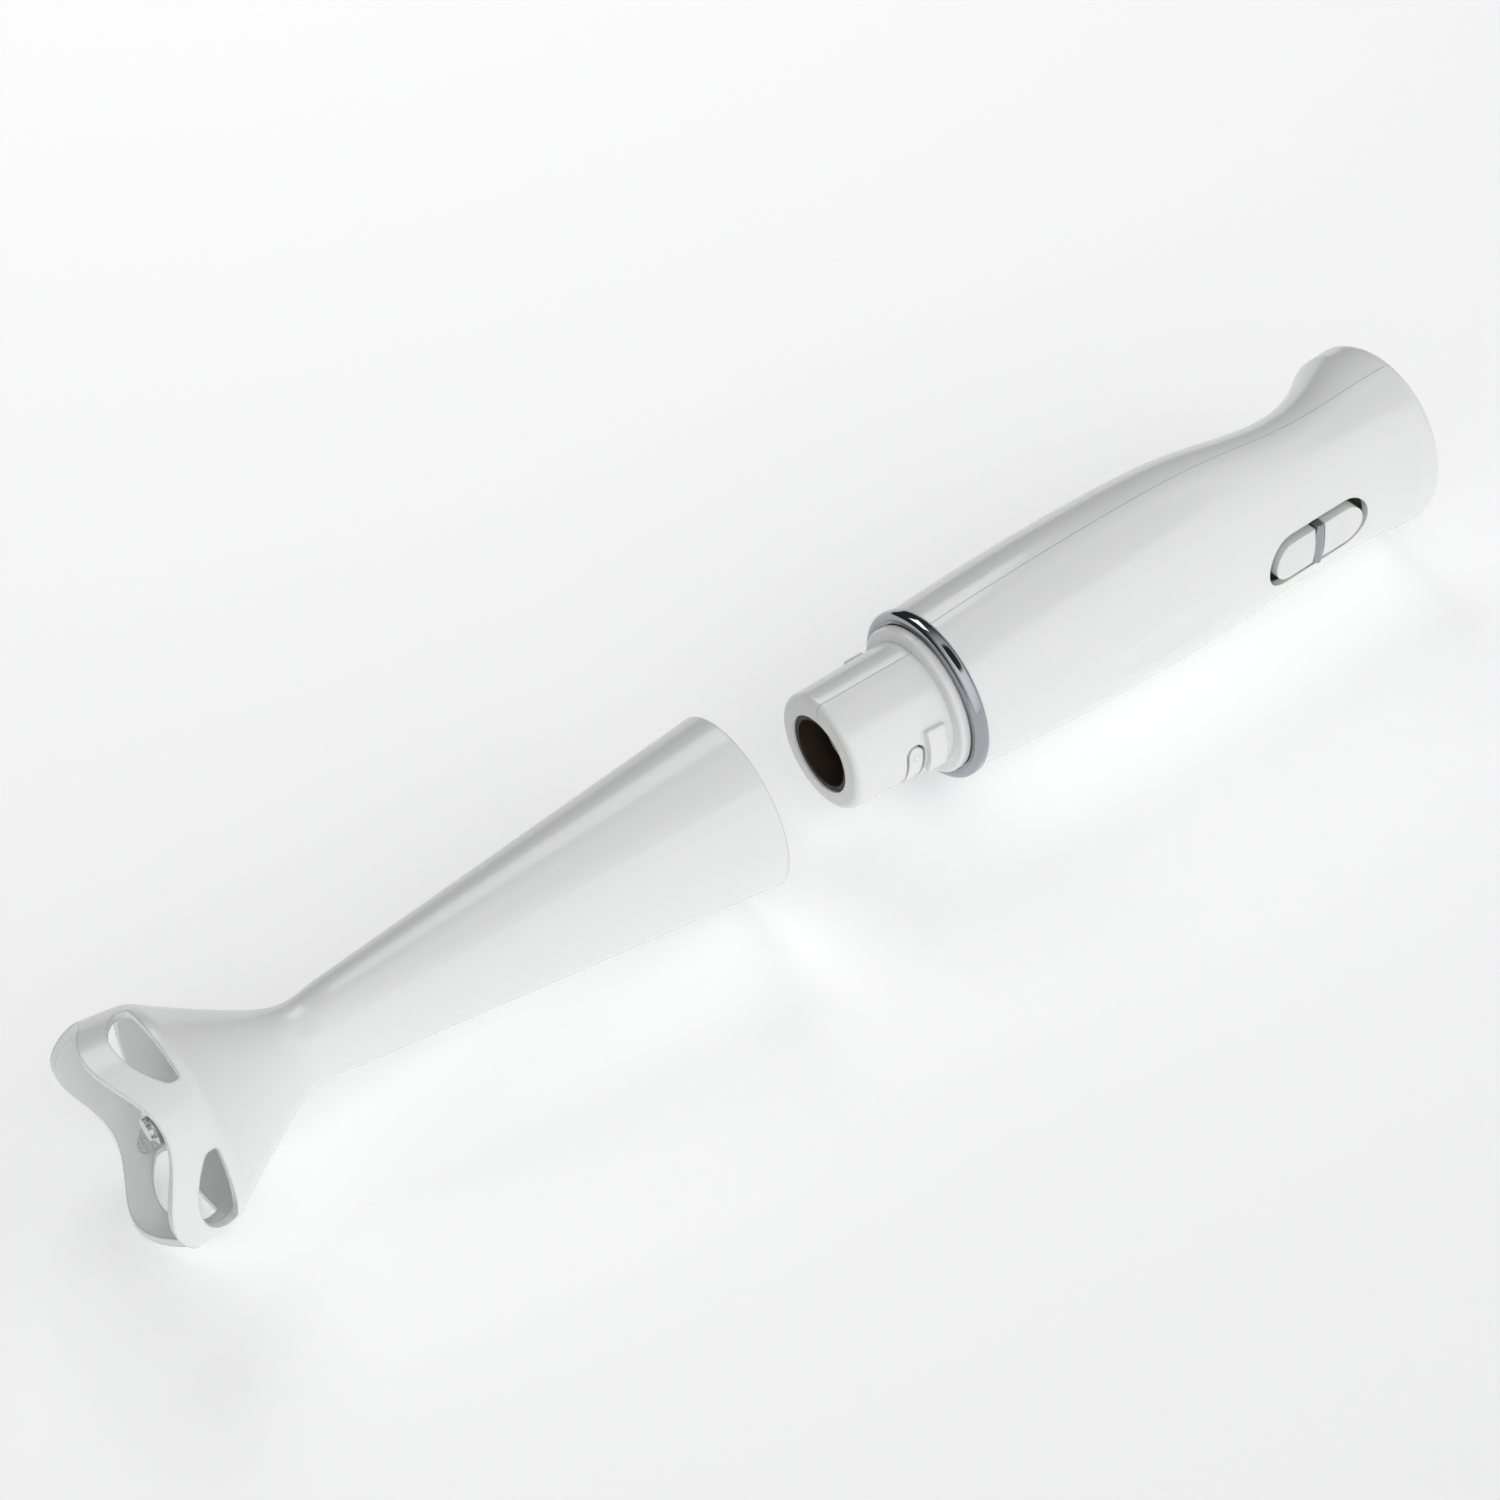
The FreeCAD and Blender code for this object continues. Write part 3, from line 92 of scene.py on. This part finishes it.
def soften_edges(material, radius):
    """Round off the shading of sharp moulded edges by that radius."""
    tree = material.node_tree
    first = next(n for n in tree.nodes if n.type == "BUMP" and not n.inputs["Normal"].is_linked)
    edge = tree.nodes.new("ShaderNodeBevel")
    edge.samples = 4
    edge.inputs["Radius"].default_value = radius
    tree.links.new(edge.outputs["Normal"], first.inputs["Normal"])


def finish(name, dark, light, rough, metallic=0.0, grain=900.0, cloud=35.0, bump=0.04, coat=0.0,
           subsurface=0.0):
    """A finish whose tone and gloss drift slightly between two values, with a fine grain."""
    made = bpy.data.materials.new(name)
    made.use_nodes = True
    tree = made.node_tree
    shader = tree.nodes["Principled BSDF"]
    surface = tree.nodes.new("ShaderNodeGroup")
    surface.node_tree = MOULDED
    surface.inputs["Grain Scale"].default_value = grain
    surface.inputs["Cloud Scale"].default_value = cloud
    tone = tree.nodes.new("ShaderNodeValToRGB")
    tone.color_ramp.elements[0].position = TONE_STOPS[0]
    tone.color_ramp.elements[0].color = (*dark, 1.0)
    tone.color_ramp.elements[1].position = TONE_STOPS[1]
    tone.color_ramp.elements[1].color = (*light, 1.0)
    gloss = tree.nodes.new("ShaderNodeMapRange")
    gloss.inputs["To Min"].default_value = rough[0]
    gloss.inputs["To Max"].default_value = rough[1]
    relief = node_of(tree, "ShaderNodeBump", Strength=bump, Distance=RELIEF_HEIGHT)
    tree.links.new(surface.outputs["Cloud"], tone.inputs["Fac"])
    tree.links.new(surface.outputs["Cloud"], gloss.inputs["Value"])
    tree.links.new(surface.outputs["Height"], relief.inputs["Height"])
    tree.links.new(tone.outputs["Color"], shader.inputs["Base Color"])
    tree.links.new(gloss.outputs["Result"], shader.inputs["Roughness"])
    tree.links.new(relief.outputs["Normal"], shader.inputs["Normal"])
    shader.inputs["Metallic"].default_value = metallic
    shader.inputs["Coat Weight"].default_value = coat
    shader.inputs["Coat Roughness"].default_value = COAT_ROUGHNESS
    shader.inputs["Subsurface Weight"].default_value = subsurface
    shader.inputs["Subsurface Scale"].default_value = SUBSURFACE_DEPTH
    return made


WHITE = ((0.825, 0.832, 0.828), (0.835, 0.842, 0.838))
FINISHES = {
    "shell_white": finish("shell_white", *WHITE, (0.20, 0.225), coat=0.25, subsurface=0.05),
    "tube_white": finish("tube_white", *WHITE, (0.26, 0.27), coat=0.2),
    "button_white": finish("button_white", (0.78, 0.79, 0.78), (0.82, 0.83, 0.82),
                           (0.2, 0.28), coat=0.3),
    "chrome": finish("chrome", (0.36, 0.385, 0.41), (0.40, 0.425, 0.45),
                     (0.07, 0.10), metallic=1.0, bump=0.01),
    "dark_sleeve": finish("dark_sleeve", (0.020, 0.011, 0.006), (0.032, 0.018, 0.010),
                          (0.45, 0.6), bump=0.1),
    "stainless": finish("stainless", (0.62, 0.63, 0.63), (0.70, 0.71, 0.71),
                        (0.20, 0.28), metallic=1.0, bump=0.01),
    "steel": finish("steel", (0.42, 0.42, 0.43), (0.52, 0.52, 0.52), (0.28, 0.42), metallic=1.0),
    "motor_steel": finish("motor_steel", (0.36, 0.37, 0.39), (0.46, 0.47, 0.48),
                          (0.3, 0.45), metallic=1.0),
    "laminated": finish("laminated", (0.16, 0.16, 0.17), (0.24, 0.24, 0.25),
                        (0.4, 0.55), metallic=0.8),
    "copper": finish("copper", (0.58, 0.26, 0.13), (0.70, 0.34, 0.18), (0.22, 0.35), metallic=1.0),
    "bronze": finish("bronze", (0.42, 0.29, 0.14), (0.54, 0.39, 0.20),
                     (0.35, 0.5), metallic=1.0, bump=0.12),
    "ferrite": finish("ferrite", (0.045, 0.045, 0.05), (0.07, 0.07, 0.075), (0.55, 0.7), bump=0.15),
    "carbon": finish("carbon", (0.02, 0.02, 0.02), (0.04, 0.04, 0.04), (0.5, 0.65), bump=0.15),
    "black_rubber": finish("black_rubber", (0.016, 0.016, 0.016), (0.028, 0.028, 0.028),
                           (0.55, 0.7), bump=0.2),
    "board_green": finish("board_green", (0.02, 0.13, 0.05), (0.04, 0.19, 0.08), (0.3, 0.4)),
    "inner_black": finish("inner_black", (0.018, 0.018, 0.02), (0.03, 0.03, 0.032), (0.4, 0.5)),
    "nylon_grey": finish("nylon_grey", (0.45, 0.45, 0.43), (0.55, 0.55, 0.52), (0.4, 0.52)),
    "yellow_film": finish("yellow_film", (0.62, 0.42, 0.04), (0.74, 0.52, 0.07), (0.28, 0.4)),
    "lead_red": finish("lead_red", (0.40, 0.03, 0.02), (0.52, 0.05, 0.03), (0.35, 0.45)),
}
soften_edges(FINISHES["shell_white"], SMALL_ROUND)
soften_edges(FINISHES["tube_white"], TUBE_ROUND)
soften_edges(FINISHES["button_white"], SMALL_ROUND)

record_slots = {}
for part in frame["record"]["subparts"]:
    record_slots[part["node"]] = (part.get("material_slot") or part.get("material")
                                  or part.get("slot"))
for name, node in NODES.items():
    node.data.materials.clear()
    node.data.materials.append(FINISHES[record_slots[name]])

# ---------------------------------------------------------------- pieces


def piece(name, shape, body, slot, *replaced):
    """Turn a bmesh into a piece that rides on a body and stands for its CAD nodes."""
    bmesh.ops.remove_doubles(shape, verts=shape.verts, dist=1e-7)
    bmesh.ops.recalc_face_normals(shape, faces=shape.faces)
    mesh = bpy.data.meshes.new(name)
    shape.to_mesh(mesh)
    shape.free()
    mesh.shade_smooth()
    mesh.set_sharp_from_angle(angle=math.radians(32))
    mesh.materials.append(FINISHES[slot])
    made = bpy.data.objects.new(name, mesh)
    bpy.context.scene.collection.objects.link(made)
    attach(made, body)
    if replaced:
        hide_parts(*replaced)
    return made


def turned(profile, steps):
    """Spin a closed profile of (x, radius) points about the long axis."""
    shape = bmesh.new()
    points = [shape.verts.new((x, 0.0, AXIS + radius)) for x, radius in profile]
    for a, b in zip(points, points[1:] + points[:1]):
        shape.edges.new((a, b))
    bmesh.ops.spin(shape, geom=list(shape.verts) + list(shape.edges), cent=(0, 0, AXIS),
                   axis=(1, 0, 0), angle=2 * math.pi, steps=steps, use_merge=True)
    return shape


def arc(centre_x, centre_r, radius, first, last, count):
    """Points on a rounding, angles in degrees from +X towards a larger radius."""
    return [
        (centre_x + radius * math.cos(math.radians(first + (last - first) * i / count)),
         centre_r + radius * math.sin(math.radians(first + (last - first) * i / count)))
        for i in range(count + 1)
    ]


def plated_ring():
    """The bright ring: a rounded rim, with fine turned steps on the face that meets the shaft."""
    low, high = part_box("trim_ring")
    front, back, outer = low.x, high.x, high.z - AXIS
    inner, lead = 0.02106, 0.0001
    step, step_width = 0.00022, 0.0008
    groove, groove_start, groove_end, groove_lead = 0.00010, 0.00125, 0.00155, 0.00005
    round_front, round_back = 0.0016, 0.0011
    profile = [
        (front + step * 2, inner),
        (front + step * 2, inner + step_width),
        (front + step, inner + step_width + lead),
        (front + step, inner + groove_start),
        (front + step + groove, inner + groove_start + groove_lead),
        (front + step + groove, inner + groove_end - groove_lead),
        (front + step, inner + groove_end),
        (front, outer - round_front - lead),
    ]
    profile += arc(front + round_front, outer - round_front, round_front, 180, 90, 8)
    profile += arc(back - round_back, outer - round_back, round_back, 90, 0, 6)
    profile.append((back, inner))
    return piece("plated_ring", turned(profile, 160), "handle", "chrome", "trim_ring")


def pill_outline(shape, length, width, segments):
    """A stadium outline in the XZ plane about the origin, as one face that faces -Y."""
    made = bmesh.ops.create_circle(shape, cap_ends=True, radius=width / 2, segments=segments)
    upright = Matrix.Rotation(math.pi / 2, 3, "X")
    bmesh.ops.rotate(shape, verts=made["verts"], cent=(0, 0, 0), matrix=upright)
    half = (length - width) / 2
    for vert in made["verts"]:
        if abs(vert.co.x) > 1e-9:
            vert.co.x += math.copysign(half, vert.co.x)


def skin_height(tree, x, z, fallback):
    """How far out (towards -Y) a surface stands at x, z."""
    place, _, _, _ = tree.ray_cast(Vector((x, -0.06, z)), Vector((0, 1, 0)))
    return place.y if place is not None else fallback


def cad_surface(name):
    """The shown surface of a CAD node, for laying pieces on it."""
    mesh = NODES[name].data
    return BVHTree.FromPolygons([v.co.copy() for v in mesh.vertices],
                                [list(polygon.vertices) for polygon in mesh.polygons])


def ridge_height(tree, centre, along, across, straight, middle, level):
    """The ridge's height beside a point, carried on at the slope between two rays."""
    core = max(-straight, min(straight, along))
    outward = Vector((along - core, across))
    radius = outward.length
    outward.normalize()
    spread = 0.0006
    heights = [
        skin_height(tree, centre.x + core + outward.x * (middle + side * spread),
                    centre.z + outward.y * (middle + side * spread), level)
        for side in (-1, 1)
    ]
    slope = (heights[1] - heights[0]) / (2 * spread)
    return sum(heights) / 2 + slope * (radius - middle)


def button_frame():
    """The boat-shaped bridge between the buttons.

    The pill around them is meant to be made here too. But inset_region leaves a free outline
    as it is unless use_boundary is set, so there is no rim, and all of the pill is deleted.
    """
    low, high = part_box("button_bezel")
    centre = (low + high) / 2
    length, width = high.x - low.x, high.z - low.z
    ridge, depth, ridge_round, sharp = 0.0021, 0.0045, 0.00072, 0.5
    bridge_half, bridge_taper, overlap = 0.00175, 0.42, 0.0006
    crown_rise, crown_fall, sunk = 0.00035, 0.00045, 0.00040
    tree = cad_surface("button_bezel")
    shape = bmesh.new()
    pill_outline(shape, length, width, 96)
    rim = bmesh.ops.inset_region(shape, faces=list(shape.faces), thickness=ridge,
                                 use_even_offset=True)
    hole = [face for face in shape.faces if face not in rim["faces"]]
    bmesh.ops.delete(shape, geom=hole, context="FACES")
    back = bmesh.ops.extrude_face_region(shape, geom=list(shape.faces), use_keep_orig=True)
    for vert in (g for g in back["geom"] if isinstance(g, bmesh.types.BMVert)):
        vert.co.y += depth
    top = [e for e in shape.edges if all(abs(v.co.y) < 1e-9 for v in e.verts)
           and e.is_manifold and e.calc_face_angle(0) > sharp]
    bmesh.ops.bevel(shape, geom=top, offset=ridge_round, segments=4, profile=0.5,
                    affect="EDGES", material=-1)
    straight, middle = (length - width) / 2, (width - ridge) / 2
    for vert in shape.verts:
        height = ridge_height(tree, centre, vert.co.x, vert.co.z, straight, middle,
                              low.y)
        vert.co = Vector((centre.x + vert.co.x, height + vert.co.y, centre.z + vert.co.z))
    bridge = bmesh.new()
    bmesh.ops.create_grid(bridge, x_segments=8, y_segments=24, size=0.5)
    inner = width - 2 * ridge + overlap
    for vert in bridge.verts:
        along = vert.co.y * 2
        across = vert.co.x * 2
        half = bridge_half * (1 - bridge_taper * along * along)
        crown = crown_rise * (1 - across * across) - crown_fall * abs(across) ** 6
        vert.co = Vector((across * half, -crown, vert.co.y * inner))
    base = bmesh.ops.extrude_face_region(bridge, geom=list(bridge.faces), use_keep_orig=True)
    for vert in (g for g in base["geom"] if isinstance(g, bmesh.types.BMVert)):
        vert.co.y += depth
    bridge_y = skin_height(tree, centre.x, centre.z, centre.y)
    for vert in bridge.verts:
        vert.co += Vector((centre.x, bridge_y + sunk, centre.z))
    joined = bpy.data.meshes.new("bridge")
    bridge.to_mesh(joined)
    bridge.free()
    shape.from_mesh(joined)
    return piece("button_frame", shape, "handle", "chrome", "button_bezel")


def cutting_blade():
    """Two leaf-shaped wings, one bent towards the handle and one away from it.

    solidify reads the normals from before the grid was stood up, so it adds no thickness:
    both sides lie on one sheet.
    """
    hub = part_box("blade_hub")[0].x
    thickness, reach, half_width, flat, tilt = 0.0012, 0.0225, 0.0044, 0.0090, math.radians(24)
    taper, tip_start, tip_power, sweep_back = 0.12, 0.45, 1.9, 0.0016
    ground_from, ground_beyond, edge_left = 0.72, 0.006, 0.15
    clear, rest_turn = 0.00001, math.radians(35)
    plane = hub - thickness / 2 - clear
    shape = bmesh.new()
    bmesh.ops.create_grid(shape, x_segments=10, y_segments=48, size=1.0)
    for vert in shape.verts:
        along = vert.co.y
        far = abs(along)
        tip = max(0.0, (far - tip_start) / (1 - tip_start))
        half = half_width * (1 - taper * far) * (1 - tip ** tip_power) ** 0.5
        sweep = sweep_back * far * far * math.copysign(1, along)
        vert.co = Vector((0.0, vert.co.x * half + sweep, along * reach))
    bmesh.ops.solidify(shape, geom=list(shape.faces), thickness=thickness)
    bmesh.ops.remove_doubles(shape, verts=shape.verts, dist=1e-7)
    middle = sum((v.co.x for v in shape.verts)) / len(shape.verts)
    for vert in shape.verts:
        vert.co.x -= middle
        far = abs(vert.co.z)
        rim = abs(vert.co.y) / max(1e-6, half_width * (1 - taper * far / reach))
        if rim > ground_from and far > ground_beyond:
            vert.co.x *= max(edge_left, 1 - (rim - ground_from) / (1 - ground_from))
        if far > flat:
            bend = tilt * (1 if vert.co.z > 0 else -1)
            out = far - flat
            vert.co = Vector((vert.co.x * math.cos(bend) + out * math.sin(bend),
                              vert.co.y,
                              math.copysign(flat + out * math.cos(bend), vert.co.z)))
    turn = Matrix.Rotation(rest_turn, 3, "X")
    bmesh.ops.rotate(shape, verts=shape.verts, cent=(0, 0, 0), matrix=turn)
    bmesh.ops.translate(shape, verts=shape.verts, vec=(plane, 0.0, AXIS))
    return piece("cutting_blade", shape, "blade_drive", "stainless", "blade")


plated_ring()
button_frame()
cutting_blade()

# ---------------------------------------------------------------- floor, light and camera

FLOOR_REACH, FLOOR_GLOW = 6.0, 0.25
SCREEN_DARK = 0.04
ROOM_BRIGHT_SIDE = (0.10, -0.80, 0.59)
SCREEN_SIDE = (0.36, -0.26, 0.89)
SCREEN_SPREAD = (0.925, 0.965)
ROOM_TONES = ((0.0, 0.03), (0.50, 0.05), (0.60, 0.22), (0.75, 0.74), (1.0, 1.42))


def floor():
    plate = bmesh.new()
    bmesh.ops.create_grid(plate, x_segments=1, y_segments=1, size=FLOOR_REACH)
    mesh = bpy.data.meshes.new("floor")
    plate.to_mesh(mesh)
    plate.free()
    made = bpy.data.objects.new("floor", mesh)
    bpy.context.scene.collection.objects.link(made)
    pale = bpy.data.materials.new("pale_floor")
    pale.use_nodes = True
    shader = pale.node_tree.nodes["Principled BSDF"]
    shader.inputs["Base Color"].default_value = (0.93, 0.93, 0.935, 1.0)
    shader.inputs["Roughness"].default_value = 0.6
    shader.inputs["Specular IOR Level"].default_value = 0.2
    shader.inputs["Emission Color"].default_value = (1.0, 1.0, 1.0, 1.0)
    shader.inputs["Emission Strength"].default_value = FLOOR_GLOW
    mesh.materials.append(pale)


def soft_box(name, place, aim, width, height, power):
    lamp = bpy.data.lights.new(name, "AREA")
    lamp.shape = "RECTANGLE"
    lamp.size = width
    lamp.size_y = height
    lamp.energy = power
    made = bpy.data.objects.new(name, lamp)
    made.location = place
    made.rotation_euler = (Vector(aim) - Vector(place)).to_track_quat("-Z", "Y").to_euler()
    bpy.context.scene.collection.objects.link(made)


def studio_room():
    """A white room, bright in front of the blender and dim behind it."""
    world = bpy.data.worlds.new("studio")
    world.use_nodes = True
    tree = world.node_tree
    coords = tree.nodes.new("ShaderNodeTexCoord")
    facing = tree.nodes.new("ShaderNodeVectorMath")
    facing.operation = "DOT_PRODUCT"
    facing.inputs[1].default_value = ROOM_BRIGHT_SIDE
    spread = tree.nodes.new("ShaderNodeMapRange")
    spread.inputs["From Min"].default_value = -1.0
    walls = tree.nodes.new("ShaderNodeValToRGB")
    stops = walls.color_ramp.elements
    stops[0].position, stops[0].color = ROOM_TONES[0][0], (*[ROOM_TONES[0][1]] * 3, 1.0)
    stops[1].position, stops[1].color = ROOM_TONES[-1][0], (*[ROOM_TONES[-1][1]] * 3, 1.0)
    for position, tone in ROOM_TONES[1:-1]:
        stops.new(position).color = (tone, tone, tone, 1.0)
    tree.links.new(coords.outputs["Generated"], facing.inputs[0])
    tree.links.new(facing.outputs["Value"], spread.inputs["Value"])
    tree.links.new(spread.outputs["Result"], walls.inputs["Fac"])
    # a dark screen hung over the blender, for the plated ring to mirror
    beside = tree.nodes.new("ShaderNodeVectorMath")
    beside.operation = "DOT_PRODUCT"
    beside.inputs[1].default_value = Vector(SCREEN_SIDE).normalized()
    tree.links.new(coords.outputs["Generated"], beside.inputs[0])
    screen = node_of(tree, "ShaderNodeMapRange")
    screen.interpolation_type = "SMOOTHSTEP"
    screen.inputs["From Min"].default_value = SCREEN_SPREAD[0]
    screen.inputs["From Max"].default_value = SCREEN_SPREAD[1]
    screen.inputs["To Min"].default_value = 1.0
    screen.inputs["To Max"].default_value = SCREEN_DARK
    tree.links.new(beside.outputs["Value"], screen.inputs["Value"])
    dimmed = tree.nodes.new("ShaderNodeVectorMath")
    dimmed.operation = "SCALE"
    tree.links.new(walls.outputs["Color"], dimmed.inputs[0])
    tree.links.new(screen.outputs["Result"], dimmed.inputs["Scale"])
    tree.links.new(dimmed.outputs["Vector"], tree.nodes["Background"].inputs["Color"])
    tree.nodes["Background"].inputs["Strength"].default_value = 1.0
    bpy.context.scene.world = world


floor()
studio_room()
soft_box("back_light", (0.25, 0.85, 0.95), (0.0, 0.0, 0.03), 0.6, 0.6, 3.4)
bpy.context.scene.view_settings.view_transform = "Standard"

CAMERA_TARGET = Vector((-0.0108, 0.0113, 0.0335))
CAMERA_DISTANCE = 0.8485
CAMERA_AZIMUTH = math.radians(-32.50)
CAMERA_ELEVATION = math.radians(44.27)
CAMERA_ROLL = math.radians(-4.93)
LENS_LENGTH, SENSOR_WIDTH = 76.8, 36.0


def camera():
    lens = bpy.data.cameras.new("camera")
    lens.lens = LENS_LENGTH
    lens.sensor_width = SENSOR_WIDTH
    lens.clip_start = 0.01
    made = bpy.data.objects.new("camera", lens)
    back = Vector((math.sin(CAMERA_AZIMUTH) * math.cos(CAMERA_ELEVATION),
                   -math.cos(CAMERA_AZIMUTH) * math.cos(CAMERA_ELEVATION),
                   math.sin(CAMERA_ELEVATION)))
    level = Vector((math.cos(CAMERA_AZIMUTH), math.sin(CAMERA_AZIMUTH), 0.0))
    upright = back.cross(level)
    right = math.cos(CAMERA_ROLL) * level + math.sin(CAMERA_ROLL) * upright
    up = math.cos(CAMERA_ROLL) * upright - math.sin(CAMERA_ROLL) * level
    pointing = Matrix((right, up, back)).transposed().to_4x4()
    made.matrix_world = Matrix.Translation(CAMERA_TARGET + back * CAMERA_DISTANCE) @ pointing
    bpy.context.scene.collection.objects.link(made)
    bpy.context.scene.camera = made


camera()
